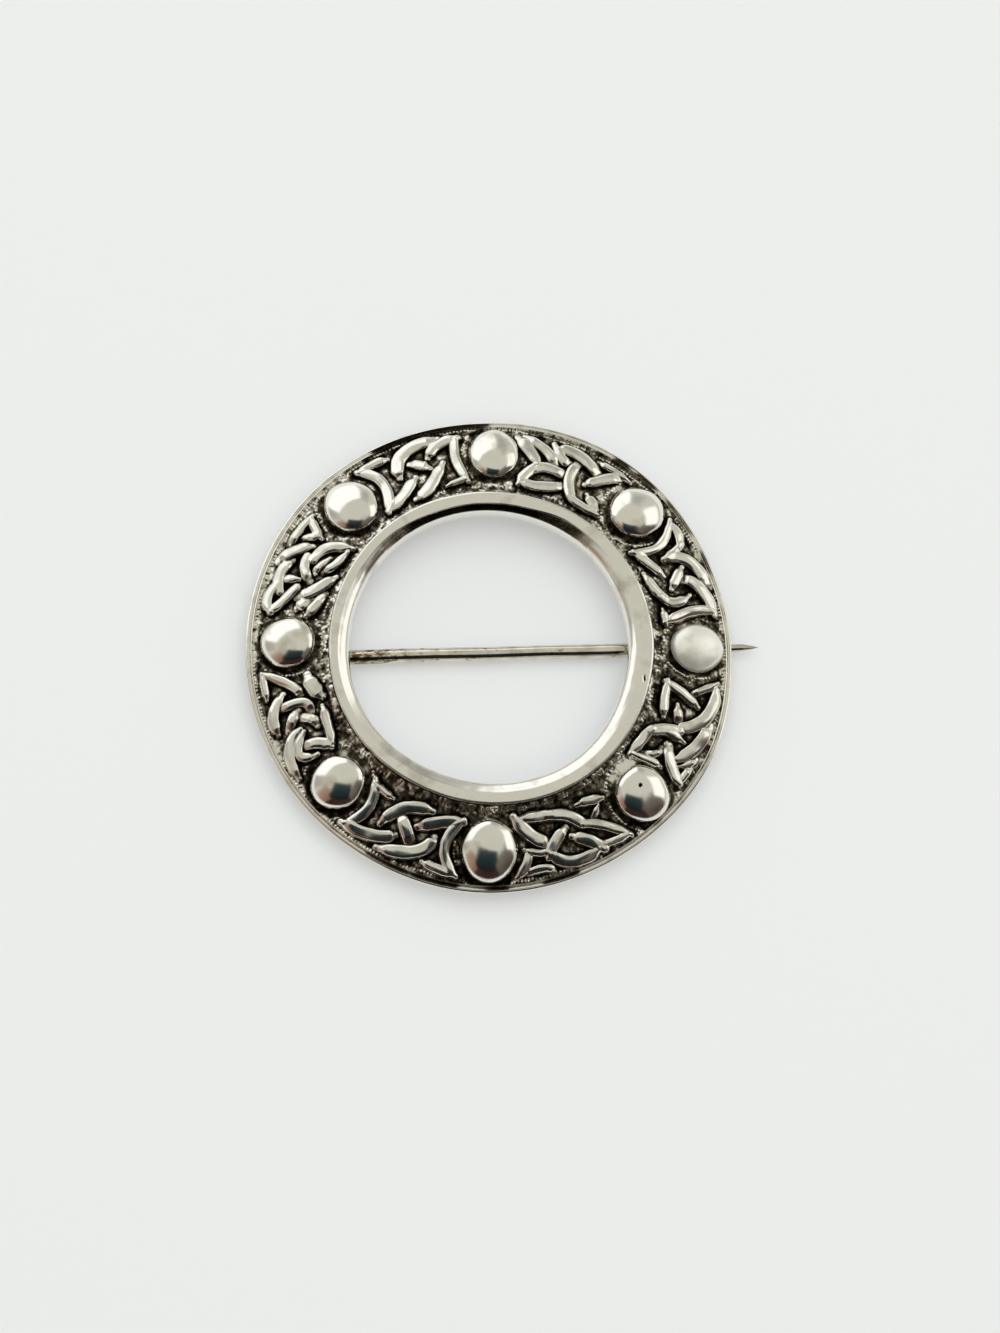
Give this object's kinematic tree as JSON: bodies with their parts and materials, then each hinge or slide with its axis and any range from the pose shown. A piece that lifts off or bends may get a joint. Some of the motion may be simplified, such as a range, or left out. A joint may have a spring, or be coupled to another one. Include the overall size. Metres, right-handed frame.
{
  "type": "celtic ring brooch",
  "caption": "Domed silver ring brooch with raised knotwork panels, round bosses, a rounded collar round the open middle, and a hinged pin across the back.",
  "frame": {"origin": "middle of the ring, on the plane of the cloth that the back lies against", "axes": "+X along the pin from its hinge to its point, +Y across the pin, +Z out of the decorated face"},
  "size_m": [0.0475, 0.045, 0.0051],
  "materials": {
    "silver": "cast sterling silver, polished on the raised metal and oxidised black in the sunk ground",
    "pin_wire": "drawn nickel silver wire, lightly worn, a little warmer in tone than the ring"
  },
  "bodies": {
    "brooch": {"ring": "silver", "hinge_rivet": "pin_wire"},
    "pin_body": {"pin": "pin_wire"}
  },
  "joints": [
    {"name": "pin_swing", "type": "hinge", "parent": "brooch", "child": "pin_body", "pos_m": [-0.0185, 0.0002, 0.00115], "axis": [0, 1, 0], "range_deg": [0, 100]}
  ]
}
